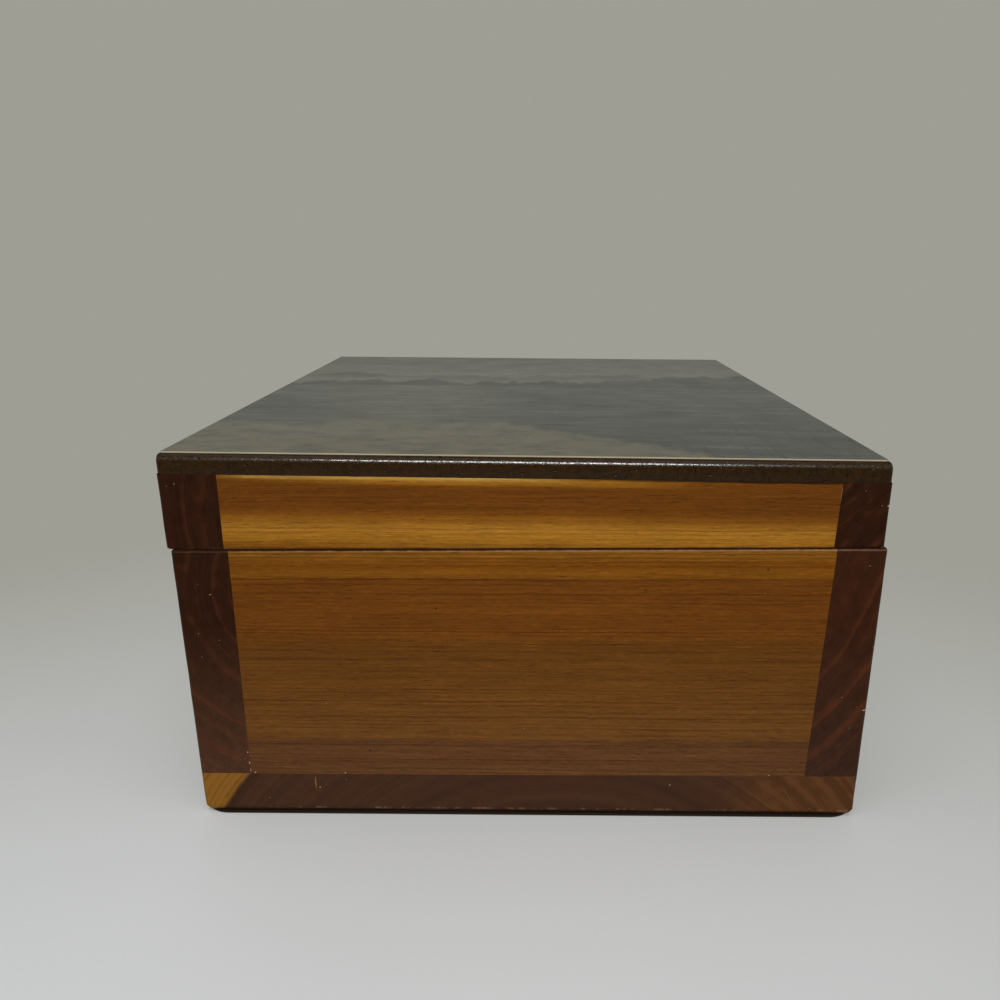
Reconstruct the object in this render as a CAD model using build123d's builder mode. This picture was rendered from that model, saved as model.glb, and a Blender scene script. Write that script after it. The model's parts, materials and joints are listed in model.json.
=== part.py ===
import os
from math import radians, tan

from build123d import *

os.makedirs("parts", exist_ok=True)

# Sizes in millimetres: X runs across the front, Y from front to back, Z up from the surface it stands on.
# The origin is the middle of the underside.

# Outer size of the base
box_width = 152.4
box_depth = 203.2

# Boards of the base
bottom_thickness = 10.5
wall_height = 54.5
panel_thickness = 12.0

# The side boards were planed by eye, so each one tapers from its foot to its head
left_side_foot = 11.9
left_side_head = 12.7
right_side_foot = 12.1
right_side_head = 10.0

# The lid is sawn from the same box, sits a little to the left and is lower on its right
seam_gap = 0.15
lid_shift = -0.8
lid_left_height = 16.45
lid_right_height = 13.7
lid_board_thickness = 4.3
print_thickness = 0.3
planing_stock = 2.0

# Rounded and eased edges
foot_round = 2.0
arris = 0.5
seam_ease = 0.3
board_corner = 1.6
board_round = 1.1

# Flat wire brads that hold the bottom board from beneath, punched in a little
brad_width = 1.4
brad_thickness = 1.0
brad_head_width = 2.2
brad_head_height = 0.8
brad_length = 25.0
brad_sink = 0.3
brad_from_end = 22.0
brad_from_side = 44.2
brads_per_side = 3

# Brass butt hinges on the back
hinge_length = 25.0
hinge_from_side = 37.2
leaf_reach = 9.5
leaf_thickness = 0.8
hinge_pin_diameter = 1.6
hinge_pin_stand_out = 0.3
hinge_pin_bevel = 0.2
knuckle_count = 5
knuckle_gap = 0.15
notch_gap = 0.2
roll_slit = 0.12

# Countersunk screws of the hinges
screw_spacing = 15.0
screw_head = 3.5
screw_shank = 2.0
screw_length = 8.5
screw_tip = 2.0
screw_angle = 90.0
screw_slot_width = 0.5
screw_slot_depth = 0.35
screw_slot_turn = 37.0

# Clearances
running_clearance = 0.04
screw_clearance = 0.05
brad_clearance = 0.03

# Heights worked out from the sizes above
base_top = bottom_thickness + wall_height
lid_bottom = base_top + seam_gap
lid_drop = lid_left_height - lid_right_height
lid_highest = max(lid_left_height, lid_right_height)
board_run = wall_height + seam_gap + lid_highest

# Hinge sizes worked out from the sizes above
pin_bore_radius = hinge_pin_diameter / 2 + running_clearance
knuckle_radius = pin_bore_radius + leaf_thickness
hinge_axis_y = box_depth / 2 + knuckle_radius
hinge_axis_z = base_top + seam_gap / 2
knuckle_pitch = (hinge_length + knuckle_gap) / knuckle_count
knuckle_length = knuckle_pitch - knuckle_gap
screw_from_axis = (knuckle_radius + notch_gap + leaf_reach) / 2


def left_outer(z):
    """X of the left outer face."""
    return -box_width / 2


def right_outer(z):
    """X of the right outer face."""
    return box_width / 2


def left_inner(z):
    """X of the left board's inner face at height z."""
    share = (z - bottom_thickness) / board_run
    return left_outer(z) + left_side_foot + (left_side_head - left_side_foot) * share


def right_inner(z):
    """X of the right board's inner face at height z."""
    share = (z - bottom_thickness) / board_run
    return right_outer(z) - right_side_foot - (right_side_head - right_side_foot) * share


def lid_slope(x):
    """Height of the planed top of the lid rails at x."""
    return lid_bottom + lid_left_height - lid_drop * (x - lid_left) / box_width


def wall_outline(left_line, right_line, low, high, shift=0.0):
    """Corners of a wall's front outline between two upright lines, moved sideways by shift."""
    return [
        (left_line(low) + shift, low),
        (right_line(low) + shift, low),
        (right_line(high) + shift, high),
        (left_line(high) + shift, high),
    ]


lid_left = left_outer(lid_bottom) + lid_shift
lid_right = right_outer(lid_bottom) + lid_shift
rail_stock_top = lid_bottom + lid_highest + planing_stock
rail_top_plane = Plane(
    origin=(lid_left, 0, lid_slope(lid_left)),
    x_dir=(box_width, 0, -lid_drop),
    z_dir=(lid_drop, 0, box_width),
)

# Faces that the walls start from: the box's front, and the inner face of the back panel
front_plane = Plane.XZ.offset(box_depth / 2)
back_panel_plane = Plane.XZ.offset(panel_thickness - box_depth / 2)

# Brads run up into the middle of each wall, with their width along it
brad_row = box_depth / 2 - brad_from_end
left_brad_x = left_outer(0) + left_side_foot / 2
right_brad_x = right_outer(0) - right_side_foot / 2
panel_brad_y = box_depth / 2 - panel_thickness / 2
panel_brad_xs = (brad_from_side - box_width / 2, box_width / 2 - brad_from_side)
side_brad_ys = [brad_row * (2 * n / (brads_per_side - 1) - 1) for n in range(brads_per_side)]
brad_places = [Location((x, y), 90) for x in (left_brad_x, right_brad_x) for y in side_brad_ys]
brad_places += [Location((x, y)) for x in panel_brad_xs for y in (-panel_brad_y, panel_brad_y)]

# Middles of the two hinges, and which way each leaf reaches from the pin
hinge_middle = box_width / 2 - hinge_from_side
hinge_places = {"left": -hinge_middle, "right": hinge_middle}
base_way = -1
lid_way = 1


def screw_planes(centre_x, way):
    """Planes on a leaf's outer face, at its two screws, that face away from the box."""
    face_y = box_depth / 2 + leaf_thickness
    z = hinge_axis_z + way * screw_from_axis
    xs = (centre_x - screw_spacing / 2, centre_x + screw_spacing / 2)
    return [Plane(origin=(x, face_y, z), x_dir=(1, 0, 0), z_dir=(0, 1, 0)) for x in xs]


def all_screw_planes(way):
    """Screw planes of both hinges, for the leaves that reach one way from the pin."""
    return [plane for centre_x in hinge_places.values() for plane in screw_planes(centre_x, way)]


def brad_shape(clearance, foot):
    """All the brads, larger all round by clearance, with heads that reach down to foot."""
    with BuildPart() as brads:
        with BuildSketch(Plane.XY.offset(foot)):
            with Locations(*brad_places):
                Rectangle(brad_head_width + 2 * clearance, brad_thickness + 2 * clearance)
        extrude(amount=brad_sink + brad_head_height + clearance - foot)
        with BuildSketch(Plane.XY.offset(brad_sink)):
            with Locations(*brad_places):
                Rectangle(brad_width + 2 * clearance, brad_thickness + 2 * clearance)
        extrude(amount=brad_length + clearance)
    return brads.part


def drill_screws(planes):
    """Countersunk clearance hole for each screw, cut into the part being built."""
    with Locations(*planes):
        CounterSinkHole(
            radius=screw_shank / 2 + screw_clearance,
            counter_sink_radius=screw_head / 2 + screw_clearance,
            depth=screw_length + screw_clearance,
            counter_sink_angle=screw_angle,
        )


# Holes that the brads make in the bottom board and in the walls
brad_holes = brad_shape(brad_clearance, 0)

# Bottom board, under all four walls
with BuildPart() as bottom_board:
    with BuildSketch(Plane.XY):
        Rectangle(box_width, box_depth)
    extrude(amount=bottom_thickness)
    fillet(bottom_board.edges().group_by(Axis.Z)[0], radius=foot_round)
    chamfer(bottom_board.edges().filter_by(Axis.Z), length=arris)
    add(brad_holes, mode=Mode.SUBTRACT)
bottom_board.part.label = "bottom_board"
export_step(bottom_board.part, "parts/bottom_board.step")

# Left side board of the base, which shows its end grain in front
with BuildPart() as base_left_side:
    with BuildSketch(front_plane):
        Polygon(*wall_outline(left_outer, left_inner, bottom_thickness, base_top), align=None)
    extrude(amount=-box_depth)
    chamfer(base_left_side.faces().sort_by(Axis.X)[0].edges().filter_by(Axis.Z), length=arris)
    chamfer(base_left_side.faces().sort_by(Axis.Z)[-1].edges().sort_by(Axis.X)[:-1], length=seam_ease)
    add(brad_holes, mode=Mode.SUBTRACT)
base_left_side.part.label = "base_left_side"
export_step(base_left_side.part, "parts/base_left_side.step")

# Right side board of the base
with BuildPart() as base_right_side:
    with BuildSketch(front_plane):
        Polygon(*wall_outline(right_inner, right_outer, bottom_thickness, base_top), align=None)
    extrude(amount=-box_depth)
    chamfer(base_right_side.faces().sort_by(Axis.X)[-1].edges().filter_by(Axis.Z), length=arris)
    chamfer(base_right_side.faces().sort_by(Axis.Z)[-1].edges().sort_by(Axis.X)[1:], length=seam_ease)
    add(brad_holes, mode=Mode.SUBTRACT)
base_right_side.part.label = "base_right_side"
export_step(base_right_side.part, "parts/base_right_side.step")

# Front cedar panel of the base, held between the side boards
with BuildPart() as base_front_panel:
    with BuildSketch(front_plane):
        Polygon(*wall_outline(left_inner, right_inner, bottom_thickness, base_top), align=None)
    extrude(amount=-panel_thickness)
    chamfer(base_front_panel.faces().sort_by(Axis.Z)[-1].edges().sort_by(Axis.Y)[0], length=seam_ease)
    add(brad_holes, mode=Mode.SUBTRACT)
base_front_panel.part.label = "base_front_panel"
export_step(base_front_panel.part, "parts/base_front_panel.step")

# Back cedar panel of the base, drilled for the hinge screws
with BuildPart() as base_back_panel:
    with BuildSketch(back_panel_plane):
        Polygon(*wall_outline(left_inner, right_inner, bottom_thickness, base_top), align=None)
    extrude(amount=-panel_thickness)
    chamfer(base_back_panel.faces().sort_by(Axis.Z)[-1].edges().sort_by(Axis.Y)[-1], length=seam_ease)
    add(brad_holes, mode=Mode.SUBTRACT)
    drill_screws(all_screw_planes(base_way))
base_back_panel.part.label = "base_back_panel"
export_step(base_back_panel.part, "parts/base_back_panel.step")

# Brads driven up through the bottom board, their heads just below its face
bottom_brads = brad_shape(0, brad_sink)
bottom_brads.label = "bottom_brads"
export_step(bottom_brads, "parts/bottom_brads.step")

# Left rail of the lid, the sawn-off top of the left side board
with BuildPart() as lid_left_rail:
    with BuildSketch(front_plane):
        Polygon(*wall_outline(left_outer, left_inner, lid_bottom, rail_stock_top, lid_shift), align=None)
    extrude(amount=-box_depth)
    split(bisect_by=rail_top_plane, keep=Keep.BOTTOM)
    chamfer(lid_left_rail.faces().sort_by(Axis.X)[0].edges().filter_by(Axis.Z), length=arris)
    chamfer(lid_left_rail.faces().sort_by(Axis.Z)[0].edges().sort_by(Axis.X)[:-1], length=seam_ease)
lid_left_rail.part.label = "lid_left_rail"
export_step(lid_left_rail.part, "parts/lid_left_rail.step")

# Right rail of the lid, the lower one
with BuildPart() as lid_right_rail:
    with BuildSketch(front_plane):
        Polygon(*wall_outline(right_inner, right_outer, lid_bottom, rail_stock_top, lid_shift), align=None)
    extrude(amount=-box_depth)
    split(bisect_by=rail_top_plane, keep=Keep.BOTTOM)
    chamfer(lid_right_rail.faces().sort_by(Axis.X)[-1].edges().filter_by(Axis.Z), length=arris)
    chamfer(lid_right_rail.faces().sort_by(Axis.Z)[0].edges().sort_by(Axis.X)[1:], length=seam_ease)
lid_right_rail.part.label = "lid_right_rail"
export_step(lid_right_rail.part, "parts/lid_right_rail.step")

# Front rail of the lid, the sawn-off top of the front cedar panel
with BuildPart() as lid_front_rail:
    with BuildSketch(front_plane):
        Polygon(*wall_outline(left_inner, right_inner, lid_bottom, rail_stock_top, lid_shift), align=None)
    extrude(amount=-panel_thickness)
    split(bisect_by=rail_top_plane, keep=Keep.BOTTOM)
    chamfer(lid_front_rail.faces().sort_by(Axis.Z)[0].edges().sort_by(Axis.Y)[0], length=seam_ease)
lid_front_rail.part.label = "lid_front_rail"
export_step(lid_front_rail.part, "parts/lid_front_rail.step")

# Back rail of the lid, drilled for the hinge screws
with BuildPart() as lid_back_rail:
    with BuildSketch(back_panel_plane):
        Polygon(*wall_outline(left_inner, right_inner, lid_bottom, rail_stock_top, lid_shift), align=None)
    extrude(amount=-panel_thickness)
    split(bisect_by=rail_top_plane, keep=Keep.BOTTOM)
    chamfer(lid_back_rail.faces().sort_by(Axis.Z)[0].edges().sort_by(Axis.Y)[-1], length=seam_ease)
    drill_screws(all_screw_planes(lid_way))
lid_back_rail.part.label = "lid_back_rail"
export_step(lid_back_rail.part, "parts/lid_back_rail.step")

# Hardboard that closes the lid, on the sloping tops of the rails
with BuildPart() as lid_board:
    with BuildSketch(front_plane):
        Polygon(
            (lid_left, lid_slope(lid_left)),
            (lid_right, lid_slope(lid_right)),
            (lid_right, lid_slope(lid_right) + lid_board_thickness),
            (lid_left, lid_slope(lid_left) + lid_board_thickness),
            align=None,
        )
    extrude(amount=-box_depth)
    fillet(lid_board.edges().filter_by(Axis.Z), radius=board_corner)
    fillet(lid_board.faces().sort_by(Axis.Z)[-1].edges(), radius=board_round)
lid_board.part.label = "lid_board"
export_step(lid_board.part, "parts/lid_board.step")

# Printed sheet on the flat of the hardboard, inside its rounded edge
print_left = lid_left + board_round
print_right = lid_right - board_round
with BuildPart() as lid_print:
    with BuildSketch(front_plane.offset(-board_round)):
        Polygon(
            (print_left, lid_slope(print_left) + lid_board_thickness),
            (print_right, lid_slope(print_right) + lid_board_thickness),
            (print_right, lid_slope(print_right) + lid_board_thickness + print_thickness),
            (print_left, lid_slope(print_left) + lid_board_thickness + print_thickness),
            align=None,
        )
    extrude(amount=2 * board_round - box_depth)
    fillet(lid_print.edges().filter_by(Axis.Z), radius=board_corner - board_round)
lid_print.part.label = "lid_print"
export_step(lid_print.part, "parts/lid_print.step")


def hinge_leaf(centre_x, way, own_knuckles):
    """One leaf of a butt hinge: a flat plate whose strips are rolled round the pin.

    way is -1 where the plate reaches down from the pin and 1 where it reaches up.
    own_knuckles are the places along the pin that this leaf fills.
    """
    hinge_start = centre_x - hinge_length / 2
    other_knuckles = [n for n in range(knuckle_count) if n not in own_knuckles]
    with BuildPart() as leaf:
        with BuildSketch(Plane.YZ.offset(hinge_start)):
            with Locations((box_depth / 2 + leaf_thickness / 2, hinge_axis_z + way * leaf_reach / 2)):
                Rectangle(leaf_thickness, leaf_reach)
        extrude(amount=hinge_length)
        notch_reach = knuckle_radius + notch_gap
        for n in other_knuckles:
            notch_start = max(hinge_start + n * knuckle_pitch - knuckle_gap, hinge_start)
            notch_end = min(notch_start + knuckle_length + 2 * knuckle_gap, hinge_start + hinge_length)
            with BuildSketch(Plane.YZ.offset(notch_start)):
                with Locations((box_depth / 2 + leaf_thickness / 2, hinge_axis_z + way * notch_reach / 2)):
                    Rectangle(leaf_thickness, notch_reach)
            extrude(amount=notch_end - notch_start, mode=Mode.SUBTRACT)
        for n in own_knuckles:
            with BuildSketch(Plane.YZ.offset(hinge_start + n * knuckle_pitch)):
                with Locations((hinge_axis_y, hinge_axis_z)):
                    Circle(knuckle_radius)
                    Circle(pin_bore_radius, mode=Mode.SUBTRACT)
                slit_y = box_depth / 2 + leaf_thickness + roll_slit / 2
                with Locations((slit_y, hinge_axis_z + way * knuckle_radius / 2)):
                    Rectangle(roll_slit, knuckle_radius, mode=Mode.SUBTRACT)
            extrude(amount=knuckle_length)
        drill_screws(screw_planes(centre_x, way))
    return leaf.part


# Two hinges: each has a base leaf with the outer knuckles, a lid leaf between them, and a pin
base_knuckles = range(0, knuckle_count, 2)
lid_knuckles = range(1, knuckle_count, 2)
for side, centre_x in hinge_places.items():
    base_leaf = hinge_leaf(centre_x, base_way, base_knuckles)
    base_leaf.label = side + "_hinge_base_leaf"
    export_step(base_leaf, "parts/" + base_leaf.label + ".step")
    lid_leaf = hinge_leaf(centre_x, lid_way, lid_knuckles)
    lid_leaf.label = side + "_hinge_lid_leaf"
    export_step(lid_leaf, "parts/" + lid_leaf.label + ".step")
    with BuildPart() as hinge_pin:
        with BuildSketch(Plane.YZ.offset(centre_x - hinge_length / 2 - hinge_pin_stand_out)):
            with Locations((hinge_axis_y, hinge_axis_z)):
                Circle(hinge_pin_diameter / 2)
        extrude(amount=hinge_length + 2 * hinge_pin_stand_out)
        chamfer(hinge_pin.edges().filter_by(GeomType.CIRCLE), length=hinge_pin_bevel)
    hinge_pin.part.label = side + "_hinge_pin"
    export_step(hinge_pin.part, "parts/" + hinge_pin.part.label + ".step")

# Slotted countersunk screws, one group in the base leaves and one in the lid leaves
head_depth = (screw_head - screw_shank) / 2 / tan(radians(screw_angle / 2))
for group, way in (("base_hinge_screws", base_way), ("lid_hinge_screws", lid_way)):
    with BuildPart() as hinge_screws:
        for n, plane in enumerate(all_screw_planes(way)):
            with BuildSketch(Plane(origin=plane.origin, x_dir=(1, 0, 0), z_dir=(0, 0, 1))):
                Polygon(
                    (0, 0),
                    (screw_head / 2, 0),
                    (screw_shank / 2, -head_depth),
                    (screw_shank / 2, screw_tip - screw_length),
                    (0, -screw_length),
                    align=None,
                )
            revolve(axis=Axis(plane.origin, (0, 1, 0)))
            with BuildSketch(plane):
                Rectangle(2 * screw_head, screw_slot_width, rotation=screw_slot_turn * n)
            extrude(amount=-screw_slot_depth, mode=Mode.SUBTRACT)
    hinge_screws.part.label = group
    export_step(hinge_screws.part, "parts/" + group + ".step")
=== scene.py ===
"""The looks of a lidded cedar trinket box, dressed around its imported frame.

Sizes are in metres. Inside the materials, patterns and places on the box are in millimetres.
"""

import json
import logging
import math
from dataclasses import dataclass, field
from enum import Enum, IntEnum
from typing import Any, Iterable, Mapping, Sequence

import bmesh
import bpy
from mathutils import Matrix, Vector, noise

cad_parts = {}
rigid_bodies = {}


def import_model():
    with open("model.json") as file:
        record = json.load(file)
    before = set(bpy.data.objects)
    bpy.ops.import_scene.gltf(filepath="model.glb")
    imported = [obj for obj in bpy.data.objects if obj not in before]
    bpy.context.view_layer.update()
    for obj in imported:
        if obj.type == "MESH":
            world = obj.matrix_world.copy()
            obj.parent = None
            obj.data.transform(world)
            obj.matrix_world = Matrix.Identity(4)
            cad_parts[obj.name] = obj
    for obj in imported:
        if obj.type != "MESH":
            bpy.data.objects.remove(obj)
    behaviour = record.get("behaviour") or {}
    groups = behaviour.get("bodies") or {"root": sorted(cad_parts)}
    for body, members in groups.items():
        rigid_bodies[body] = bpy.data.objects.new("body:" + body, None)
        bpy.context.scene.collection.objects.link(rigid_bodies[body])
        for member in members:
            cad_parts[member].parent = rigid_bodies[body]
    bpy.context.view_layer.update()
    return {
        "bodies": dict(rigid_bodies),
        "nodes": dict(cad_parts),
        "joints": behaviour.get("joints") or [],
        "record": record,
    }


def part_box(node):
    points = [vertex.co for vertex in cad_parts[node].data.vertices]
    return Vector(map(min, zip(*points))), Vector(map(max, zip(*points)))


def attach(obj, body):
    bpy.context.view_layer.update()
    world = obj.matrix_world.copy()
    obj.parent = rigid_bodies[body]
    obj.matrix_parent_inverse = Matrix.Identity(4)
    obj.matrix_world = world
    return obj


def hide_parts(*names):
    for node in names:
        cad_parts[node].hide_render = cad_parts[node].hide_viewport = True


log = logging.getLogger("trinket_box")

MM = 0.001
Colour = tuple[float, float, float]
Scale = tuple[float, float, float]
Span = tuple[float, float]
Point = tuple[float, float, float]


class Axis(IntEnum):
    """A direction in the shared frame, as its place in a vector."""

    X = 0
    Y = 1
    Z = 2


class Grain(Enum):
    """The way a board's grain runs."""

    ACROSS = "x"
    DEPTH = "y"


@dataclass(frozen=True)
class Value:
    """A number that varies over a surface, with arithmetic that adds Math nodes."""

    shader: "Shader"
    socket: bpy.types.NodeSocket

    def math(self, operation: str, *others: "Value | float") -> "Value":
        """Applies one Math operation to this value and others."""
        return self.shader.math(operation, self, *others)

    def __add__(self, other: "Value | float") -> "Value":
        """This value plus another."""
        return self.math("ADD", other)

    def __radd__(self, other: float) -> "Value":
        """A number plus this value."""
        return self.math("ADD", other)

    def __sub__(self, other: "Value | float") -> "Value":
        """This value less another."""
        return self.math("SUBTRACT", other)

    def __rsub__(self, other: float) -> "Value":
        """A number less this value."""
        return self.shader.math("SUBTRACT", other, self)

    def __mul__(self, other: "Value | float") -> "Value":
        """This value times another."""
        return self.math("MULTIPLY", other)

    def __rmul__(self, other: float) -> "Value":
        """A number times this value."""
        return self.math("MULTIPLY", other)

    def __pow__(self, other: float) -> "Value":
        """This value to a power."""
        return self.math("POWER", other)

    def __abs__(self) -> "Value":
        """This value without its sign."""
        return self.math("ABSOLUTE")

    def at_least(self, other: "Value | float") -> "Value":
        """The larger of this value and another."""
        return self.math("MAXIMUM", other)

    def whole(self) -> "Value":
        """This value rounded down."""
        return self.math("FLOOR")

    def part(self) -> "Value":
        """What is left of this value above its whole number."""
        return self.math("FRACT")

    def between(self, low: float, high: float) -> "Value":
        """A smooth step from 0 at low to 1 at high, or back down where low is the larger."""
        return self.shader.step(self, low, high)


class Shader:
    """Builds the nodes of one material, or of the world.

    Blender's Mix node has a set of sockets for each type of data, and the MIX_ numbers are those for colours.
    """

    MIX_FIRST = 6
    MIX_SECOND = 7
    MIX_RESULT = 2

    def __init__(self, owner: bpy.types.Material | bpy.types.World) -> None:
        """Starts with an empty node tree.

        Args:
            owner: the new material or world.
        """
        owner.use_nodes = True
        self.owner = owner
        self.tree = owner.node_tree
        self.tree.nodes.clear()

    def node(
        self,
        kind: str,
        settings: Mapping[str, Any] | None = None,
        inputs: Mapping[str | int, Any] | None = None,
    ) -> bpy.types.Node:
        """Adds one node.

        Args:
            kind: Blender's type name of the node.
            settings: its properties, set before its sockets; a list of stops fills a colour ramp.
            inputs: values or links of its sockets, by name or number.

        Returns:
            The new node.
        """
        made = self.tree.nodes.new(kind)
        for key, setting in (settings or {}).items():
            if key == "stops":
                self._fill_ramp(made.color_ramp, setting)
            else:
                setattr(made, key, setting)
        for key, given in (inputs or {}).items():
            socket = made.inputs[key]
            if isinstance(given, Value):
                given = given.socket
            if isinstance(given, bpy.types.NodeSocket):
                self.tree.links.new(given, socket)
            elif socket.type == "RGBA" and len(given) == 3:
                socket.default_value = (*given, 1.0)
            else:
                socket.default_value = given
        return made

    @staticmethod
    def _fill_ramp(ramp: bpy.types.ColorRamp, stops: Sequence[tuple[float, Colour]]) -> None:
        """Writes stops into a colour ramp.

        Args:
            ramp: the ramp of a new node.
            stops: places from 0 to 1 with their colours, in rising order.
        """
        while len(ramp.elements) < len(stops):
            ramp.elements.new(1.0)
        for element, (place, colour) in zip(ramp.elements, stops):
            element.position = place
            element.color = (*colour, 1.0)

    def math(self, operation: str, *values: Value | float) -> Value:
        """Adds one Math node.

        Args:
            operation: Blender's name of the operation.
            values: its inputs in order.

        Returns:
            Its result.
        """
        made = self.node("ShaderNodeMath", {"operation": operation}, dict(enumerate(values)))
        return Value(self, made.outputs[0])

    def step(self, value: Value, low: float, high: float) -> Value:
        """A smooth step of a value.

        Args:
            value: what is measured.
            low: where the result is 0.
            high: where the result is 1; it may be below low.

        Returns:
            The step, from 0 to 1.
        """
        rising = high > low
        ends = (low, high) if rising else (high, low)
        results = (0.0, 1.0) if rising else (1.0, 0.0)
        made = self.node(
            "ShaderNodeMapRange",
            {"interpolation_type": "SMOOTHSTEP"},
            {0: value, 1: ends[0], 2: ends[1], 3: results[0], 4: results[1]},
        )
        return Value(self, made.outputs[0])

    def place(self) -> bpy.types.NodeSocket:
        """Finds the point on the object.

        Returns:
            The point, in millimetres.
        """
        where = self.node("ShaderNodeTexCoord").outputs["Object"]
        made = self.node("ShaderNodeVectorMath", {"operation": "SCALE"}, {0: where, "Scale": 1 / MM})
        return made.outputs[0]

    def facing(self) -> tuple[Value, Value, Value]:
        """The surface's direction in the object's own frame, as three numbers."""
        return self.parts(self.node("ShaderNodeTexCoord").outputs["Normal"])

    def parts(self, vector: bpy.types.NodeSocket) -> tuple[Value, Value, Value]:
        """A vector's three numbers."""
        made = self.node("ShaderNodeSeparateXYZ", None, {0: vector})
        return tuple(Value(self, out) for out in made.outputs)

    def join(self, x: Value | float, y: Value | float, z: Value | float) -> bpy.types.NodeSocket:
        """A vector of three numbers."""
        return self.node("ShaderNodeCombineXYZ", None, {0: x, 1: y, 2: z}).outputs[0]

    def stretched(self, vector: bpy.types.NodeSocket, scale: Sequence[float]) -> bpy.types.NodeSocket:
        """A vector multiplied along each axis."""
        made = self.node("ShaderNodeVectorMath", {"operation": "MULTIPLY"}, {0: vector, 1: tuple(scale)})
        return made.outputs[0]

    def noise(self, where: Value | bpy.types.NodeSocket, detail: float = 2.0, rough: float = 0.5) -> Value:
        """Smooth noise, about 0.5 on average.

        Args:
            where: a number for noise along a line, or a vector for noise in space, in noise periods.
            detail: how many finer layers it has.
            rough: how strong the finer layers are.

        Returns:
            The noise, mostly from 0.2 to 0.8.
        """
        line = isinstance(where, Value)
        made = self.node(
            "ShaderNodeTexNoise",
            {"noise_dimensions": "1D" if line else "3D"},
            {"W" if line else "Vector": where, "Scale": 1.0, "Detail": detail, "Roughness": rough},
        )
        return Value(self, made.outputs[0])

    def cells(self, where: bpy.types.NodeSocket, spread: float = 1.0) -> tuple[Value, bpy.types.NodeSocket]:
        """Scattered points.

        Args:
            where: a vector, in cells.
            spread: how far each point may lie from its cell's middle.

        Returns:
            The distance to the nearest point, and that point's random colour.
        """
        made = self.node("ShaderNodeTexVoronoi", None, {"Vector": where, "Scale": 1.0, "Randomness": spread})
        return Value(self, made.outputs["Distance"]), made.outputs["Color"]

    def chance(self, value: Value) -> Value:
        """A random number from 0 to 1 for each different value."""
        made = self.node("ShaderNodeTexWhiteNoise", {"noise_dimensions": "1D"}, {"W": value})
        return Value(self, made.outputs[0])

    def ramp(self, value: Value, stops: Sequence[tuple[float, Colour]]) -> bpy.types.NodeSocket:
        """A colour for each value.

        Args:
            value: what is measured.
            stops: values in rising order, with their colours.

        Returns:
            The colour between the stops.
        """
        low, high = stops[0][0], stops[-1][0]
        share = (value - low) * (1 / (high - low))
        scaled = [((place - low) / (high - low), colour) for place, colour in stops]
        return self.node("ShaderNodeValToRGB", {"stops": scaled}, {0: share}).outputs[0]

    def mix(
        self,
        share: Value | float,
        first: bpy.types.NodeSocket | Colour,
        second: bpy.types.NodeSocket | Colour,
        blend: str = "MIX",
    ) -> bpy.types.NodeSocket:
        """Mixes two colours.

        Args:
            share: how much of the second colour there is, from 0 to 1.
            first: the colour at 0.
            second: the colour at 1.
            blend: Blender's name of the way they mix.

        Returns:
            The mixed colour.
        """
        made = self.node(
            "ShaderNodeMix",
            {"data_type": "RGBA", "blend_type": blend},
            {0: share, self.MIX_FIRST: first, self.MIX_SECOND: second},
        )
        return made.outputs[self.MIX_RESULT]

    def brighten(self, colour: bpy.types.NodeSocket, factor: Value) -> bpy.types.NodeSocket:
        """A colour multiplied by a number."""
        made = self.node("ShaderNodeVectorMath", {"operation": "SCALE"}, {0: colour, "Scale": factor})
        return made.outputs[0]

    def relief(self, height: Value, depth: float) -> bpy.types.NodeSocket:
        """A normal from a height map.

        Args:
            height: the surface's height, from 0 to 1.
            depth: how far 1 stands above 0, in millimetres.

        Returns:
            The normal for a surface shader.
        """
        made = self.node("ShaderNodeBump", None, {"Strength": 1.0, "Distance": depth * MM, "Height": height})
        return made.outputs[0]

    def finish(self, **surface: Any) -> bpy.types.Material:
        """Ends the material in one surface shader.

        Args:
            surface: its sockets, with underscores for the spaces in their names.

        Returns:
            The material.
        """
        inputs = {name.replace("_", " "): given for name, given in surface.items()}
        shaded = self.node("ShaderNodeBsdfPrincipled", None, inputs)
        self.node("ShaderNodeOutputMaterial", None, {0: shaded.outputs[0]})
        return self.owner


@dataclass(frozen=True)
class Pattern:
    """Noise in space, in periods to a millimetre along each axis."""

    scale: Scale
    detail: float = 2.0
    rough: float = 0.5

    def over(self, shader: Shader, place: bpy.types.NodeSocket) -> Value:
        """The noise at each point.

        Args:
            shader: the material.
            place: the point, in millimetres.

        Returns:
            The noise, mostly from 0.2 to 0.8.
        """
        return shader.noise(shader.stretched(place, self.scale), self.detail, self.rough)


@dataclass(frozen=True)
class Growth:
    """The grain at each point of a board, with the point and the surface's direction."""

    x: Value
    y: Value
    z: Value
    face_x: Value
    face_y: Value
    face_z: Value
    radius: Value
    late: Value
    streak: Value
    fibre: Value

    def outward(self) -> Value:
        """1 where the surface looks away from the middle of the box, 0 where it looks in."""
        return (self.x * self.face_x + self.y * self.face_y).between(2.0, 12.0)

    def end(self) -> Value:
        """1 on a board's cut ends, where the grain runs from front to back."""
        return abs(self.face_y).between(0.4, 0.6)

    def arris(self) -> Value:
        """Finds the sloped edges.

        Returns:
            1 on sloped edges, 0 on flat faces and square corners.
        """
        flat_x, flat_y, flat_z = (part * part for part in (self.face_x, self.face_y, self.face_z))
        slopes = flat_z * (flat_x + flat_y) + flat_x * flat_y
        return slopes.between(0.08, 0.22)


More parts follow.
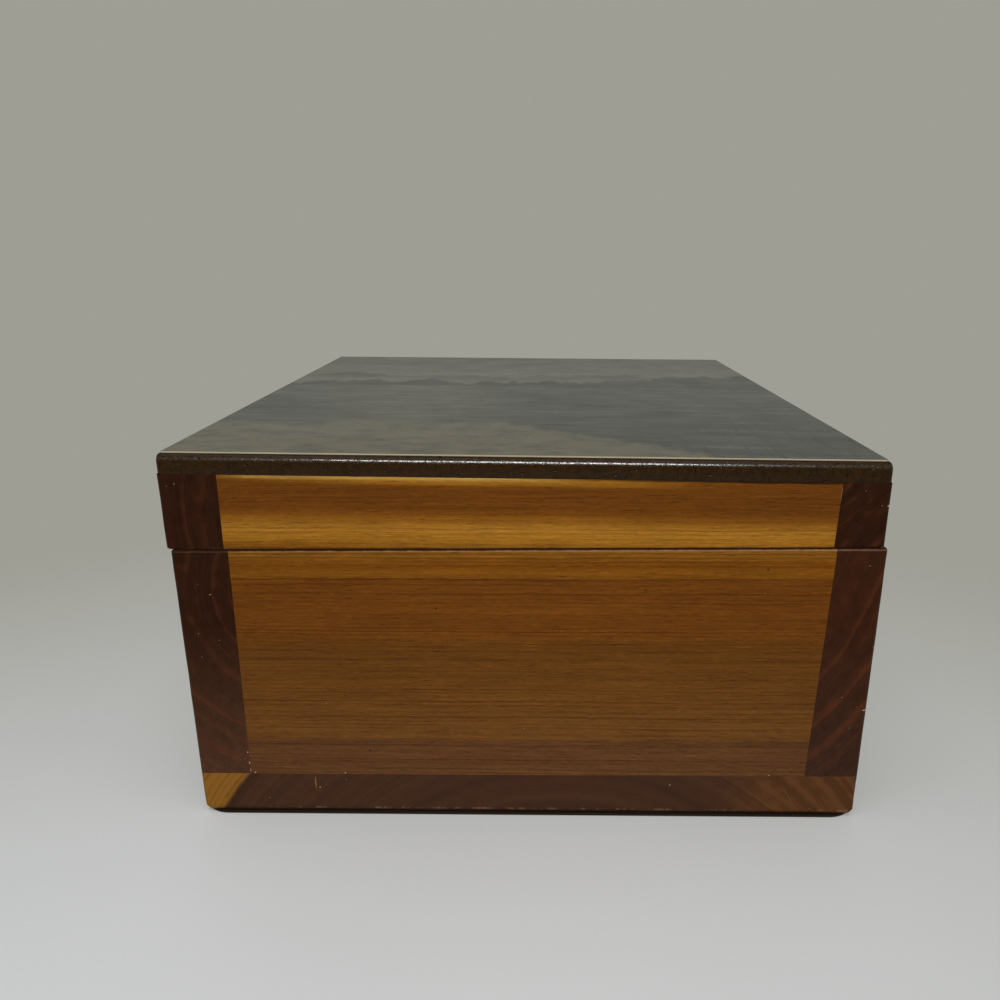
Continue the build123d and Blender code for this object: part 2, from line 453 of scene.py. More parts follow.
@dataclass(frozen=True)
class Log:
    """How a board was sawn out of its log, in millimetres.

    The heart is the middle of the rings, given across the grain and upwards. The two spans say where a ring's
    dark part fades in and out again, in shares of the ring.
    """

    grain: Grain
    heart: tuple[float, float]
    ring: float = 1.35
    taper: float = 0.03
    sway: float = 3.0
    seed: float = 0.0
    waver: float = 0.7
    uneven_years: float = 2.4
    latewood: Span = (0.45, 0.88)
    next_spring: Span = (1.0, 0.92)

    def grow(self, shader: Shader) -> Growth:
        """Works out the grain.

        Args:
            shader: the material that shows it.

        Returns:
            The grain at each point.
        """
        x, y, z = shader.parts(shader.place())
        along, side = (x, y) if self.grain is Grain.ACROSS else (y, x)

        def drawn(length: float, width: float, detail: float = 1.0) -> Value:
            """Noise about 0 that is drawn out along the grain."""
            where = shader.join(along * (1 / length) + self.seed, side * (1 / width), z * (1 / width))
            return shader.noise(where, detail) - 0.5

        off_side = side - self.heart[0]
        off_height = z - self.heart[1]
        straight = (off_side * off_side + off_height * off_height) ** 0.5
        bend = drawn(length=110.0, width=24.0) * self.sway
        radius = straight + along * self.taper + bend + drawn(length=26.0, width=5.0) * self.waver
        fat_years = shader.noise(radius * 0.21 + self.seed, 1.0) * self.uneven_years
        years = radius * (1 / self.ring) + fat_years
        season = years.part()
        dark = season.between(*self.latewood) * season.between(*self.next_spring)
        broken = drawn(length=38.0, width=1.6).between(-0.22, 0.16)
        strength = shader.chance(years.whole() + self.seed) * 0.8 + 0.2
        late = dark * strength * (broken * 0.7 + 0.3)
        stripes = shader.noise(radius * 0.33 + self.seed * 3.1 + 7.0, 2.0)
        streak = stripes + drawn(length=70.0, width=3.0) * 0.35
        fine = drawn(length=7.0, width=0.26, detail=3.0) * 2.2
        fibre = fine + drawn(length=34.0, width=0.8) * 1.3 + 0.5
        return Growth(x, y, z, *shader.facing(), radius, late, streak, fibre)


@dataclass(frozen=True)
class Mark:
    """A small scar, chip or blob of glue on a front face, in millimetres."""

    x: float
    z: float
    half_width: float
    half_height: float
    colour: Colour = (0.20, 0.14, 0.095)
    lean: float = 0.0
    front: Span = (-100.0, -100.8)
    outline: Pattern = Pattern((1.7, 1.7, 1.7), 3.0, 0.7)
    strength: float = 0.85

    def mask(self, shader: Shader, wood: Growth) -> Value:
        """Where the mark lies.

        Args:
            shader: the material.
            wood: the grain under the mark.

        Returns:
            1 on the mark, 0 off it.
        """
        uneven = self.outline.over(shader, shader.place()) * 0.9
        away_z = wood.z - self.z
        away_x = wood.x - self.x - away_z * self.lean
        across, up = away_x * (1 / self.half_width), away_z * (1 / self.half_height)
        spread = (across * across + up * up) ** 0.5
        return (spread + uneven).between(1.45, 1.05) * wood.y.between(*self.front) * self.strength


@dataclass(frozen=True)
class WoodFinish:
    """What all boards share: raw inner faces, worn edges, painted shade in the gap under the lid, under the
    foot and on the rail tops under the hardboard, specks and a satin oil.

    Levels are heights above the floor, and a span is where a zone starts and where it is full, all in mm.
    """

    name: str
    log: Log
    raw: Colour = (0.40, 0.215, 0.115)
    raw_late: Colour = (0.23, 0.095, 0.045)
    worn: Colour = (0.36, 0.215, 0.13)
    # painted shade colour: the foot's underside, the rail tops under the hardboard and the shade under the
    # hardboard on the lid's front rail
    painted_shade: Colour = (0.010, 0.005, 0.0028)
    # painted shade colour for the gap between lid and base
    seam_shade: Colour = (0.019, 0.0052, 0.0004)
    wear: float = 0.5
    ledge_wear: float = 0.4
    satin: float = 0.42
    shine: float = 0.045
    seam: float = 65.06
    # height and slope of the painted shade line along the gap under the lid
    seam_shade_level: float = 64.95
    seam_shade_slope: float = 0.0008
    rim_x: Span = (75.1, 75.6)
    rim_y: Span = (100.6, 101.0)
    # heights where the painted shade under the foot starts and where it is full
    foot: Span = (6.0, 4.0)
    # heights of the rail tops under the hardboard, where shade is painted
    board_shade_line: Span = (76.0, 78.0)
    wear_scale: float = 0.16
    ragged_scale: float = 0.45
    speck_cells: Scale = (0.31, 0.31, 0.31)
    dust: Colour = (0.42, 0.36, 0.28)
    hole: Colour = (0.02, 0.008, 0.003)
    relief: float = 0.035
    marks: tuple[Mark, ...] = ()

    def oiled(self, shader: Shader, wood: Growth) -> bpy.types.NodeSocket:
        """The colour of the oiled outer faces.

        Args:
            shader: the material.
            wood: its grain.

        Returns:
            The colour.
        """
        raise NotImplementedError

    def inner(self, shader: Shader, wood: Growth) -> bpy.types.NodeSocket:
        """The colour of the raw inner faces.

        Args:
            shader: the material.
            wood: its grain.

        Returns:
            The colour.
        """
        plain = shader.mix(wood.late * 0.8, self.raw, self.raw_late)
        return shader.brighten(plain, 0.72 + wood.streak * 0.35 + wood.fibre * 0.22)

    def material(self) -> bpy.types.Material:
        """Builds the finish.

        Returns:
            The material.
        """
        shader = Shader(bpy.data.materials.new(self.name))
        wood = self.log.grow(shader)
        outward = wood.outward()
        colour = shader.mix(outward, self.inner(shader, wood), self.oiled(shader, wood))
        colour = self._wear_and_painted_shade(shader, wood, colour)
        colour = self._specks(shader, colour)
        for mark in self.marks:
            colour = shader.mix(mark.mask(shader, wood), colour, mark.colour)
        height = wood.fibre * 0.35 - wood.late * 0.5 + 0.5
        rough = (1 - outward) * 0.26 + self.satin + wood.fibre * 0.1
        return shader.finish(
            Base_Color=colour,
            Roughness=rough,
            Specular_IOR_Level=self.shine,
            Normal=shader.relief(height, self.relief),
        )

    def _wear_and_painted_shade(self, shader: Shader, wood: Growth, colour: bpy.types.NodeSocket) -> bpy.types.NodeSocket:
        """Rubs the finish off the edges in places, and paints shade into the gap under the lid, onto the
        down-facing round of the foot and onto the rail tops under the hardboard.

        Args:
            shader: the material.
            wood: its grain.
            colour: the colour so far.

        Returns:
            The colour with worn edges and painted shade.
        """
        uneven = shader.join(wood.x * self.ragged_scale, wood.y * self.ragged_scale, self.log.seed)
        ragged = shader.noise(uneven, 4.0, 0.65) - 0.5
        rubbed = self._rubbed(shader, wood).at_least(self._ledge(wood, ragged))
        worn = shader.mix(rubbed, colour, self.worn)
        # painted shade along the gap between lid and base, and on the raw rim inside it
        seam_shaded = shader.mix(self._seam_shade_mask(wood, ragged), worn, self.seam_shade)
        # painted shade: the down-facing round of the foot is darkened, fading out above 4 mm
        underside = wood.face_z.between(-0.42, -0.62) * wood.face_z.between(-0.99, -0.96)
        foot_shade = wood.outward() * (underside * wood.z.between(*self.foot)) * 0.93
        # painted shade on the up-facing rail tops in the gap under the hardboard
        board_shade = wood.z.between(*self.board_shade_line) * wood.face_z.between(0.5, 0.9)
        return shader.mix(foot_shade.at_least(board_shade), seam_shaded, self.painted_shade)

    def _rubbed(self, shader: Shader, wood: Growth) -> Value:
        """Where the arrises have lost their finish, most of all those that look up or lie along the seam.

        Args:
            shader: the material.
            wood: its grain.

        Returns:
            How worn each point is, from 0 to 1.
        """
        scale = self.wear_scale
        where = shader.join(wood.x * scale + self.log.seed, wood.y * scale, wood.z * scale)
        by_seam = abs(wood.z - self.seam).between(0.7, 0.5) * 0.35
        exposed = wood.face_z.between(0.1, 0.5).at_least(by_seam) * 0.92 + 0.08
        return wood.arris() * shader.noise(where, 4.0, 0.7).between(0.4, 0.6) * self.wear * exposed

    def _ledge(self, wood: Growth, ragged: Value) -> Value:
        """Where the base is worn pale just below the seam.

        Args:
            wood: the grain.
            ragged: noise about 0.

        Returns:
            How worn each point is, from 0 to 1.
        """
        below = wood.z.between(self.seam - 0.68, self.seam - 0.44)
        strip = below * wood.z.between(self.seam - 0.05, self.seam - 0.25)
        return strip * wood.outward() * (1 + ragged * 1.6) * self.ledge_wear

    def _seam_shade_mask(self, wood: Growth, ragged: Value) -> Value:
        """Where shade is painted along the gap under the lid: on the outer faces, and on the rim of the raw
        faces in it.

        Args:
            wood: the grain.
            ragged: noise about 0.

        Returns:
            How much painted shade each point gets, from 0 to 1.
        """
        away = abs(wood.z - self.seam_shade_level - wood.x * self.seam_shade_slope)
        rim = abs(wood.y).between(*self.rim_y).at_least(abs(wood.x).between(*self.rim_x))
        return wood.outward().at_least(rim) * (away + ragged * 0.3).between(0.28, 0.14) * 0.92

    def _specks(self, shader: Shader, colour: bpy.types.NodeSocket) -> bpy.types.NodeSocket:
        """Scatters a few pale specks of dust and small dark pits.

        Args:
            shader: the material.
            colour: the colour so far.

        Returns:
            The colour with its specks.
        """
        near, kind = shader.cells(shader.stretched(shader.place(), self.speck_cells))
        red, green, _ = shader.parts(kind)
        speck = near.between(0.05, 0.025) * red.between(0.93, 0.94)
        pit = near.between(0.1, 0.05) * red.between(0.06, 0.05)
        dusty = shader.mix(speck * (green * 0.4 + 0.15), colour, self.dust)
        return shader.mix(pit * 0.7, dusty, self.hole)


@dataclass(frozen=True)
class PanelFinish(WoodFinish):
    """Oiled red cedar with its grain across the front, whose colour changes from band to band.

    The lid's front rail has a crest: a bright strip, with a halo below it, under the hardboard's shade.
    """

    bands: tuple[tuple[float, Colour], ...] = ()
    lines: float = 0.7
    line_tint: Colour = (0.42, 0.34, 0.28)
    tilt: float = 0.0
    crest_height: float | None = None
    crest_slope: float = 0.018
    crest: Colour = (0.42, 0.235, 0.048)
    crest_left: Span = (-70.0, -55.0)
    crest_right: Span = (22.0, -8.0)
    halo: Colour = (0.245, 0.098, 0.0068)
    halo_left: Span = (-72.0, -28.0)
    halo_right: Span = (46.0, 10.0)
    shade_right: Span = (0.0, 34.0)
    # where the painted sheen across the face rises and falls
    sheen_left: Span = (-88.0, 5.0)
    sheen_right: Span = (108.0, 5.0)

    def oiled(self, shader: Shader, wood: Growth) -> bpy.types.NodeSocket:
        """The colour of the oiled outer faces, with a painted sheen across their middle.

        Args:
            shader: the material.
            wood: its grain.

        Returns:
            The colour.
        """
        seed = self.log.seed
        drift = shader.noise(shader.join(wood.x * 0.012 + seed, wood.z * 0.03, 0.0), 2.0) - 0.5
        level = wood.z + wood.x * self.tilt + drift * 2.2
        band = shader.ramp(level + (wood.fibre - 0.5) * 0.5 + (wood.streak - 0.5) * 0.6, self.bands)
        if self.crest_height is not None:
            band = self._crested(shader, wood, band)
        lined = shader.mix(1.0, band, self.line_tint, "MULTIPLY")
        deep = shader.mix(wood.late * self.lines, band, lined)
        where = shader.join(wood.x * 0.05 + seed, wood.y * 0.02, wood.z * 0.22)
        # painted sheen: the face is made up to about 14% brighter towards its middle; the noise is the wood's
        # own uneven tone
        middle = wood.x.between(*self.sheen_left) * wood.x.between(*self.sheen_right)
        glow = (shader.noise(where, 1.0) * 0.3 + 0.86) * (middle * 0.13 + 0.9)
        fleck = shader.noise(shader.join(wood.x * 0.3, wood.y * 0.5, wood.z * 4.0 + seed), 2.0, 0.6)
        dash = shader.noise(shader.join(wood.x * 0.55, wood.y * 0.5, wood.z * 3.2 + seed), 1.0)
        pale_fleck, dark_fleck = fleck.between(0.6, 0.72) * 0.34, fleck.between(0.4, 0.28) * 0.4
        mottle = pale_fleck - dark_fleck + (dash - 0.5) * 0.42
        return shader.brighten(deep, (0.69 + wood.fibre * 0.31 + wood.streak * 0.26 + mottle) * glow)

    def _crested(self, shader: Shader, wood: Growth, band: bpy.types.NodeSocket) -> bpy.types.NodeSocket:
        """Adds the bright strip along the top, its halo, and the hardboard's shade above it.

        Args:
            shader: the material.
            wood: its grain.
            band: the colour so far.

        Returns:
            The colour with its crest.
        """
        below = self.crest_height - wood.x * self.crest_slope - wood.z
        under = below - wood.x.between(-78.0, -25.0) * 0.15 - 0.48
        halo = under.between(1.4, 0.5) * wood.x.between(*self.halo_right) * wood.x.between(*self.halo_left)
        strip = under.between(0.4, -0.35) * wood.x.between(*self.crest_right)
        strip = strip * wood.x.between(*self.crest_left)
        bright = shader.mix(strip * 0.92, shader.mix(halo, band, self.halo), self.crest)
        # painted shade under the hardboard, along the top of the rail towards its right end
        uneven = below + (wood.fibre - 0.5) * 0.15
        shade = uneven.between(0.42, 0.22) * wood.x.between(*self.shade_right)
        return shader.mix(shade * 0.85, bright, self.painted_shade)


@dataclass(frozen=True)
class SideFinish(WoodFinish):
    """Dark red cedar with its grain from front to back, and near-black cut ends."""

    outer: Colour = (0.17, 0.062, 0.018)
    outer_late: Colour = (0.062, 0.02, 0.0065)
    end_top: Colour = (0.0225, 0.0066, 0.0023)
    end_foot: Colour = (0.060, 0.0250, 0.0124)
    end_streak: Colour = (0.070, 0.019, 0.0060)
    end_fade: Span = (12.0, 48.0)
    smudges: Pattern = Pattern((0.5, 0.5, 0.28), 4.0, 0.65)
    streaks: float = 0.4

    def oiled(self, shader: Shader, wood: Growth) -> bpy.types.NodeSocket:
        """The colour of the oiled outer faces and ends.

        Args:
            shader: the material.
            wood: its grain.

        Returns:
            The colour.
        """
        face = shader.mix(wood.late * 0.85, self.outer, self.outer_late)
        face = shader.brighten(face, 0.5 + wood.streak * 0.55 + wood.fibre * 0.42)
        end = shader.ramp(wood.z, tuple(zip(self.end_fade, (self.end_foot, self.end_top))))
        end = shader.mix(wood.streak.between(0.5, 0.78) * self.streaks, end, self.end_streak)
        smudge = self.smudges.over(shader, shader.place())
        end = shader.brighten(end, 0.36 - wood.late * 0.2 + wood.streak * 0.44 + smudge * 0.88)
        return shader.mix(wood.end(), face, end)


@dataclass(frozen=True)
class BottomFinish(WoodFinish):
    """A cedar board with a corner of pale sapwood, whose cut ends show at the front and the back."""

    face: Colour = (0.20, 0.078, 0.024)
    face_late: Colour = (0.085, 0.028, 0.010)
    end_grain: Colour = (0.052, 0.0215, 0.0110)
    tan_grain: Colour = (0.075, 0.0290, 0.0098)
    sap: Colour = (0.205, 0.089, 0.0125)
    sap_late: Colour = (0.125, 0.050, 0.009)
    sap_radius: float = 92.9
    tan_from: Span = (42.0, 58.0)
    # where the board's left and right ends are kept mostly free of wear and painted shade
    plain_corner: Span = (70.0, 75.0)
    rubbed_low: Span = (1.1, 1.3)
    rubbed_high: Span = (1.9, 1.6)
    # a lighter painted shade colour for the foot's underside
    painted_shade: Colour = (0.028, 0.0135, 0.0060)

    def oiled(self, shader: Shader, wood: Growth) -> bpy.types.NodeSocket:
        """The colour of the oiled outer faces and ends.

        Args:
            shader: the material.
            wood: its grain.

        Returns:
            The colour.
        """
        face = shader.mix(wood.late * 0.75, self.face, self.face_late)
        face = shader.brighten(face, 0.55 + wood.streak * 0.5 + wood.fibre * 0.4)
        tan = wood.x.between(*self.tan_from)
        stripes = wood.streak.between(0.42, 0.62) * tan * 0.26
        end = shader.mix(tan, self.end_grain, self.tan_grain)
        end = shader.brighten(end, 0.7 + wood.streak * 0.5 - wood.late * 0.08 + stripes)
        heart = shader.mix(wood.end(), face, end)
        pale = shader.mix(wood.late, self.sap, self.sap_late)
        border = wood.radius.between(self.sap_radius - 3.2, self.sap_radius - 0.8)
        heart = shader.brighten(heart, 1 - border * 0.3)
        outer_rings = wood.radius.between(self.sap_radius - 0.9, self.sap_radius + 0.5)
        both = shader.mix(outer_rings, heart, pale)
        patches = shader.noise(shader.join(wood.x * 0.35, wood.y * 0.35, 2.0), 4.0, 0.7).between(0.47, 0.66)
        rubbed = patches * wood.z.between(*self.rubbed_low) * wood.z.between(*self.rubbed_high)
        return shader.mix(rubbed * 0.3, both, self.worn)

    def _wear_and_painted_shade(self, shader: Shader, wood: Growth, colour: bpy.types.NodeSocket) -> bpy.types.NodeSocket:
        """Rubs the finish off the edges in places and paints shade, and leaves the corners of the foot mostly
        without either.

        Args:
            shader: the material.
            wood: its grain.
            colour: the colour so far.

        Returns:
            The colour with worn edges and painted shade.
        """
        worn = super()._wear_and_painted_shade(shader, wood, colour)
        return shader.mix(abs(wood.x).between(*self.plain_corner) * 0.85, worn, colour)


@dataclass(frozen=True)
class HardboardFinish:
    """Dark pressed fibreboard: varnished edges with pits, and a screen pattern underneath."""

    name: str = "dark_hardboard"
    edge: Colour = (0.0200, 0.0086, 0.0013)
    pit: Colour = (0.003, 0.0015, 0.0008)
    back: Colour = (0.105, 0.058, 0.028)
    screen: float = 0.95
    fuzz: Pattern = Pattern((0.9, 0.9, 1.6), 4.0, 0.65)
    grit: Pattern = Pattern((2.2, 2.2, 3.4), 2.0, 0.6)
    glints: Pattern = Pattern((1.5, 1.5, 2.6), 3.0, 0.65)
    ticks: Pattern = Pattern((1.7, 1.7, 0.45), 3.0, 0.7)
    pit_cells: Scale = (0.42, 0.42, 0.8)
    relief: float = 0.065
    shine: float = 0.12
    varnish_rough: float = 0.165
    varnish_ior: float = 1.65

    def material(self) -> bpy.types.Material:
        """Builds the finish.

        Returns:
            The material.
        """
        shader = Shader(bpy.data.materials.new(self.name))
        place = shader.place()
        _, _, face_z = shader.facing()
        under = face_z.between(-0.8, -0.95)
        fuzz, grit = self.fuzz.over(shader, place), self.grit.over(shader, place)
        near, kind = shader.cells(shader.stretched(place, self.pit_cells))
        red, _, _ = shader.parts(kind)
        pitted = near.between(0.24, 0.1) * red.between(0.6, 0.62)
        rounded = face_z.between(0.06, 0.24) * face_z.between(0.62, 0.44)
        sparkle = self.glints.over(shader, place).between(0.38, 0.62)
        weave = self._weave(shader, place)
        ticks = self.ticks.over(shader, place).between(0.56, 0.7)
        edge = shader.brighten(self.edge, fuzz * 2.0 + grit * 1.0 - 0.4)
        edge = shader.mix((pitted * 0.85).at_least(ticks * 0.65), edge, self.pit)
        back = shader.brighten(self.back, 0.5 + weave * 0.35 + fuzz * 0.4)
        rough_edge = shader.join(fuzz * 0.5 + grit * 0.8 - pitted, 0.0, 0.0)
        height = shader.mix(under, rough_edge, shader.join(weave, 0.0, 0.0))
        return shader.finish(
            Base_Color=shader.mix(under, edge, back),
            Roughness=under * 0.5 + 0.1 + fuzz * 0.1,
            Specular_IOR_Level=self.shine,
            Coat_Weight=rounded * (sparkle * 0.72 + 0.12),
            Coat_Roughness=self.varnish_rough,
            Coat_IOR=self.varnish_ior,
            Normal=shader.relief(shader.parts(height)[0], self.relief),
        )

    def _weave(self, shader: Shader, place: bpy.types.NodeSocket) -> Value:
        """The print of the screen that the board was pressed on.

        Args:
            shader: the material.
            place: the point, in millimetres.

        Returns:
            Its height, from 0 to 1.
        """
        x, y, _ = shader.parts(place)
        turns = math.tau / self.screen
        return ((x * turns).math("SINE") * (y * turns).math("SINE")) * 0.5 + 0.5


@dataclass(frozen=True)
class Skyline:
    """An uneven line across the picture, in shares of half its depth."""

    level: float
    height: float
    scale: float
    seed: float
    detail: float = 4.0
    rough: float = 0.6

    def over(self, shader: Shader, x: Value) -> Value:
        """The line's height at each place across the picture.

        Args:
            shader: the material.
            x: the place, in millimetres.

        Returns:
            Its height above the picture's middle.
        """
        noise_along = shader.noise(x * self.scale + self.seed, self.detail, self.rough)
        return self.level + (noise_along - 0.5) * self.height


@dataclass(frozen=True)
class PrintFinish:
    """A printed sheet under aged varnish, with a misty lake between low hills, and a cream cut edge."""

    name: str = "printed_sheet"
    half_width: float = 76.2
    half_depth: float = 101.6
    paper: Colour = (0.41, 0.36, 0.245)
    mist: Colour = (0.155, 0.157, 0.116)
    sky: Colour = (0.050, 0.056, 0.045)
    far_hill: Colour = (0.040, 0.048, 0.043)
    near_hill: Colour = (0.0105, 0.0135, 0.0125)
    water: Colour = (0.026, 0.033, 0.030)
    bank: Colour = (0.215, 0.185, 0.105)
    dust: Colour = (0.3, 0.29, 0.25)
    far_ridge: Skyline = Skyline(0.40, height=0.5, scale=0.035, seed=3.7, rough=0.5)
    near_ridge: Skyline = Skyline(0.22, height=0.42, scale=0.05, seed=9.3, detail=5.0)
    shore: Skyline = Skyline(-0.58, height=0.36, scale=0.04, seed=1.9)
    water_line: float = 0.12
    clouds: Pattern = Pattern((0.016, 0.05, 0.0), 4.0, 0.6)
    brush: Pattern = Pattern((0.12, 0.15, 0.0), 4.0, 0.65)
    ripples: Pattern = Pattern((0.035, 0.33, 0.0), 3.0, 0.6)
    reeds: Pattern = Pattern((0.55, 0.045, 0.0), 3.0, 0.7)
    dabs: Pattern = Pattern((0.34, 0.27, 0.0), 3.0, 0.7)
    smudges: Pattern = Pattern((0.06, 0.06, 0.06), 5.0, 0.65)
    torn: Pattern = Pattern((0.5, 0.5, 0.5), 3.0, 0.6)
    cockles: Pattern = Pattern((0.12, 0.12, 0.12), 3.0)
    dust_cells: Scale = (0.24, 0.24, 0.24)
    shift: float = 0.4
    relief: float = 0.05
    shine: float = 0.14

    def picture(self, shader: Shader, place: bpy.types.NodeSocket) -> bpy.types.NodeSocket:
        """Paints the landscape.

        Args:
            shader: the material.
            place: the point, in millimetres.

        Returns:
            The colour.
        """
        x, y, _ = shader.parts(place)
        across, up = x * (1 / self.half_width), y * (1 / self.half_depth)
        clouds, brush = self.clouds.over(shader, place), self.brush.over(shader, place)
        colour = shader.mix(up.between(0.3, 0.95) * (clouds * 0.9 + 0.35), self.mist, self.sky)
        far = (self.far_ridge.over(shader, x) - up).between(-0.01, 0.03)
        colour = shader.mix(far * (up.between(0.2, 0.42) * 0.9), colour, self.far_hill)
        nearer = self.near_ridge.over(shader, x) + (across + 0.1).between(0.2, 1.0) * 0.22
        colour = shader.mix((nearer - up).between(-0.01, 0.025), colour, self.near_hill)
        ripple = self.ripples.over(shader, place).between(0.42, 0.7)
        shine = abs(across + 0.42).between(0.5, 0.05)
        wet = shader.mix(ripple * 0.5 + shine * 0.45, self.water, self.mist)
        colour = shader.mix((self.water_line - up).between(0.0, 0.02), colour, wet)
        shore = self.shore.over(shader, x) - across.between(-0.2, 0.9) * 0.5
        sand = shader.mix(brush.between(0.35, 0.7) * 0.75, self.bank, self.water)
        colour = shader.mix((shore - up).between(-0.02, 0.05), colour, sand)
        reeds = self.reeds.over(shader, place).between(0.5, 0.62)
        clump = across.between(0.15, 0.8) * up.between(-0.35, -0.75)
        colour = shader.mix(reeds * clump * 0.8, colour, self.near_hill)
        dabs = self.dabs.over(shader, place)
        return shader.brighten(colour, 0.10 + brush * 0.66 + dabs * 0.32)

    def material(self) -> bpy.types.Material:
        """Builds the finish.

        Returns:
            The material.
        """
        shader = Shader(bpy.data.materials.new(self.name))
        place = shader.place()
        x, y, _ = shader.parts(place)
        _, _, face_z = shader.facing()
        smudge = self.smudges.over(shader, place)
        near, kind = shader.cells(shader.stretched(place, self.dust_cells))
        red, _, _ = shader.parts(kind)
        dust = near.between(0.06, 0.03) * red.between(0.75, 0.78)
        picture = shader.mix(dust * 0.5, self.picture(shader, place), self.dust)
        ragged = self.torn.over(shader, place) * 0.55
        past_side = abs(x + self.shift) - (self.half_width - self.shift)
        side = past_side.at_least(abs(y) - self.half_depth)
        rubbed = (side + ragged).between(-0.2, 0.1)
        cut = face_z.between(0.9, 0.6)
        colour = shader.mix(rubbed.at_least(cut), picture, shader.brighten(self.paper, 0.75 + smudge * 0.5))
        return shader.finish(
            Base_Color=colour,
            Roughness=smudge * 0.2 + 0.13 + cut * 0.3,
            Specular_IOR_Level=self.shine,
            Normal=shader.relief(self.cockles.over(shader, place), self.relief),
        )


@dataclass(frozen=True)
class MetalFinish:
    """Plain metal dulled by age, with a darker film that gathers in patches, and darkening in screw slots
    that is partly that film and partly painted shade.
    """

    name: str
    bright: Colour
    dull: Colour
    rough: float = 0.32
    speckle: float = 0.3
    film: Pattern = Pattern((0.35, 0.35, 0.35), 5.0, 0.7)
    brushing: Pattern = Pattern((0.25, 9.0, 9.0), 2.0)
    spot_cells: Scale = (1.3, 1.3, 1.3)
    relief: float = 0.02
    slot: Span | None = None

    def material(self) -> bpy.types.Material:
        """Builds the finish.

        Returns:
            The material.
        """
        shader = Shader(bpy.data.materials.new(self.name))
        place = shader.place()
        film, brushed = self.film.over(shader, place), self.brushing.over(shader, place)
        spots, _ = shader.cells(shader.stretched(place, self.spot_cells))
        stain_and_shade = (film.between(0.3, 0.75) * 0.45).at_least(spots.between(0.16, 0.05) * self.speckle)
        # darker deep in the screw slots: partly film, partly painted shade in the recess
        if self.slot:
            _, depth, _ = shader.parts(place)
            stain_and_shade = stain_and_shade.at_least(depth.between(*self.slot))
        return shader.finish(
            Base_Color=shader.mix(stain_and_shade, self.bright, self.dull),
            Metallic=1 - stain_and_shade * 0.25,
            Roughness=self.rough + stain_and_shade * 0.28 + brushed * 0.1,
            Normal=shader.relief(brushed * 0.6 + film * 0.4, self.relief),
        )


# Heights above the floor in millimetres, each with the oiled wood's colour there.
BASE_BANDS = (
    (10.5, (0.108, 0.046, 0.0145)),
    (14.0, (0.100, 0.038, 0.0128)),
    (18.8, (0.098, 0.039, 0.0125)),
    (20.0, (0.128, 0.050, 0.0105)),
    (33.0, (0.122, 0.045, 0.0070)),
    (41.0, (0.110, 0.039, 0.0056)),
    (46.0, (0.130, 0.041, 0.0042)),
    (57.6, (0.130, 0.040, 0.0038)),
    (59.2, (0.190, 0.068, 0.0050)),
    (61.2, (0.148, 0.045, 0.0025)),
    (63.6, (0.194, 0.074, 0.0065)),
)
LID_BANDS = (
    (64.6, (0.160, 0.056, 0.0045)),
    (66.4, (0.265, 0.108, 0.0085)),
    (69.2, (0.320, 0.138, 0.0150)),
    (71.2, (0.230, 0.086, 0.0075)),
    (72.4, (0.160, 0.053, 0.0042)),
    (73.6, (0.122, 0.038, 0.0034)),
    (79.6, (0.128, 0.040, 0.0038)),
)
BACK_BANDS = (
    (10.5, (0.120, 0.045, 0.0110)),
    (26.0, (0.150, 0.056, 0.0110)),
    (34.0, (0.115, 0.038, 0.0070)),
    (52.0, (0.145, 0.052, 0.0085)),
    (65.0, (0.170, 0.066, 0.0120)),
    (80.0, (0.150, 0.055, 0.0090)),
)

GLUE = (0.45, 0.38, 0.28)
LEFT_MARKS = (
    Mark(-64.55, 16.1, 0.15, 0.22, GLUE),
    Mark(-64.4, 13.3, 0.13, 0.3, GLUE),
    Mark(-64.3, 11.4, 0.09, 0.7, GLUE),
    Mark(-68.7, 54.9, 0.3, 0.16),
    Mark(-72.4, 45.7, 0.14, 0.16),
    Mark(-72.4, 40.1, 0.14, 0.14),
)
LID_LEFT_MARKS = (Mark(-73.4, 79.5, 0.1, 0.3), Mark(-75.1, 79.0, 0.1, 0.16))
RIGHT_MARKS = (
    Mark(75.75, 27.45, 0.55, 0.15, GLUE),
    Mark(72.9, 23.0, 0.16, 0.16),
    Mark(70.45, 30.6, 0.22, 0.1),
    Mark(72.85, 61.2, 0.15, 0.15),
    Mark(75.9, 42.6, 0.2, 0.3, (0.25, 0.12, 0.07)),
)
LID_RIGHT_MARKS = (
    Mark(75.1, 74.1, 0.32, 0.26, GLUE),
    Mark(73.7, 74.2, 0.13, 0.13),
    Mark(70.1, 77.3, 0.13, 0.13),
)
LID_FRONT_MARKS = (
    Mark(65.25, 76.0, 0.08, 2.4, (0.30, 0.19, 0.10)),
    Mark(65.2, 69.0, 0.08, 1.6, (0.34, 0.23, 0.12)),
    Mark(12.4, 78.4, 1.1, 0.09, (0.22, 0.10, 0.03), lean=-3.0),
)
FRONT_MARKS = (
    Mark(-35.9, 16.8, 0.42, 0.30, (0.030, 0.014, 0.007)),
    Mark(-63.3, 10.75, 0.22, 0.14, GLUE),
    Mark(-42.0, 10.8, 0.22, 0.12, GLUE),
    Mark(56.0, 10.8, 0.14, 0.12, GLUE),
)
BOTTOM_MARKS = (
    Mark(-49.2, 8.1, 0.16, 1.9, (0.24, 0.12, 0.045)),
    Mark(-48.3, 6.9, 0.16, 0.2, GLUE),
    Mark(33.5, 8.1, 0.14, 0.14, GLUE),
    Mark(-60.5, 4.0, 0.22, 0.2, (0.16, 0.08, 0.05)),
    Mark(61.0, 5.2, 0.18, 3.2, (0.105, 0.045, 0.015), lean=-0.62),
    Mark(66.1, 2.0, 0.2, 0.12, (0.2, 0.12, 0.07)),
)


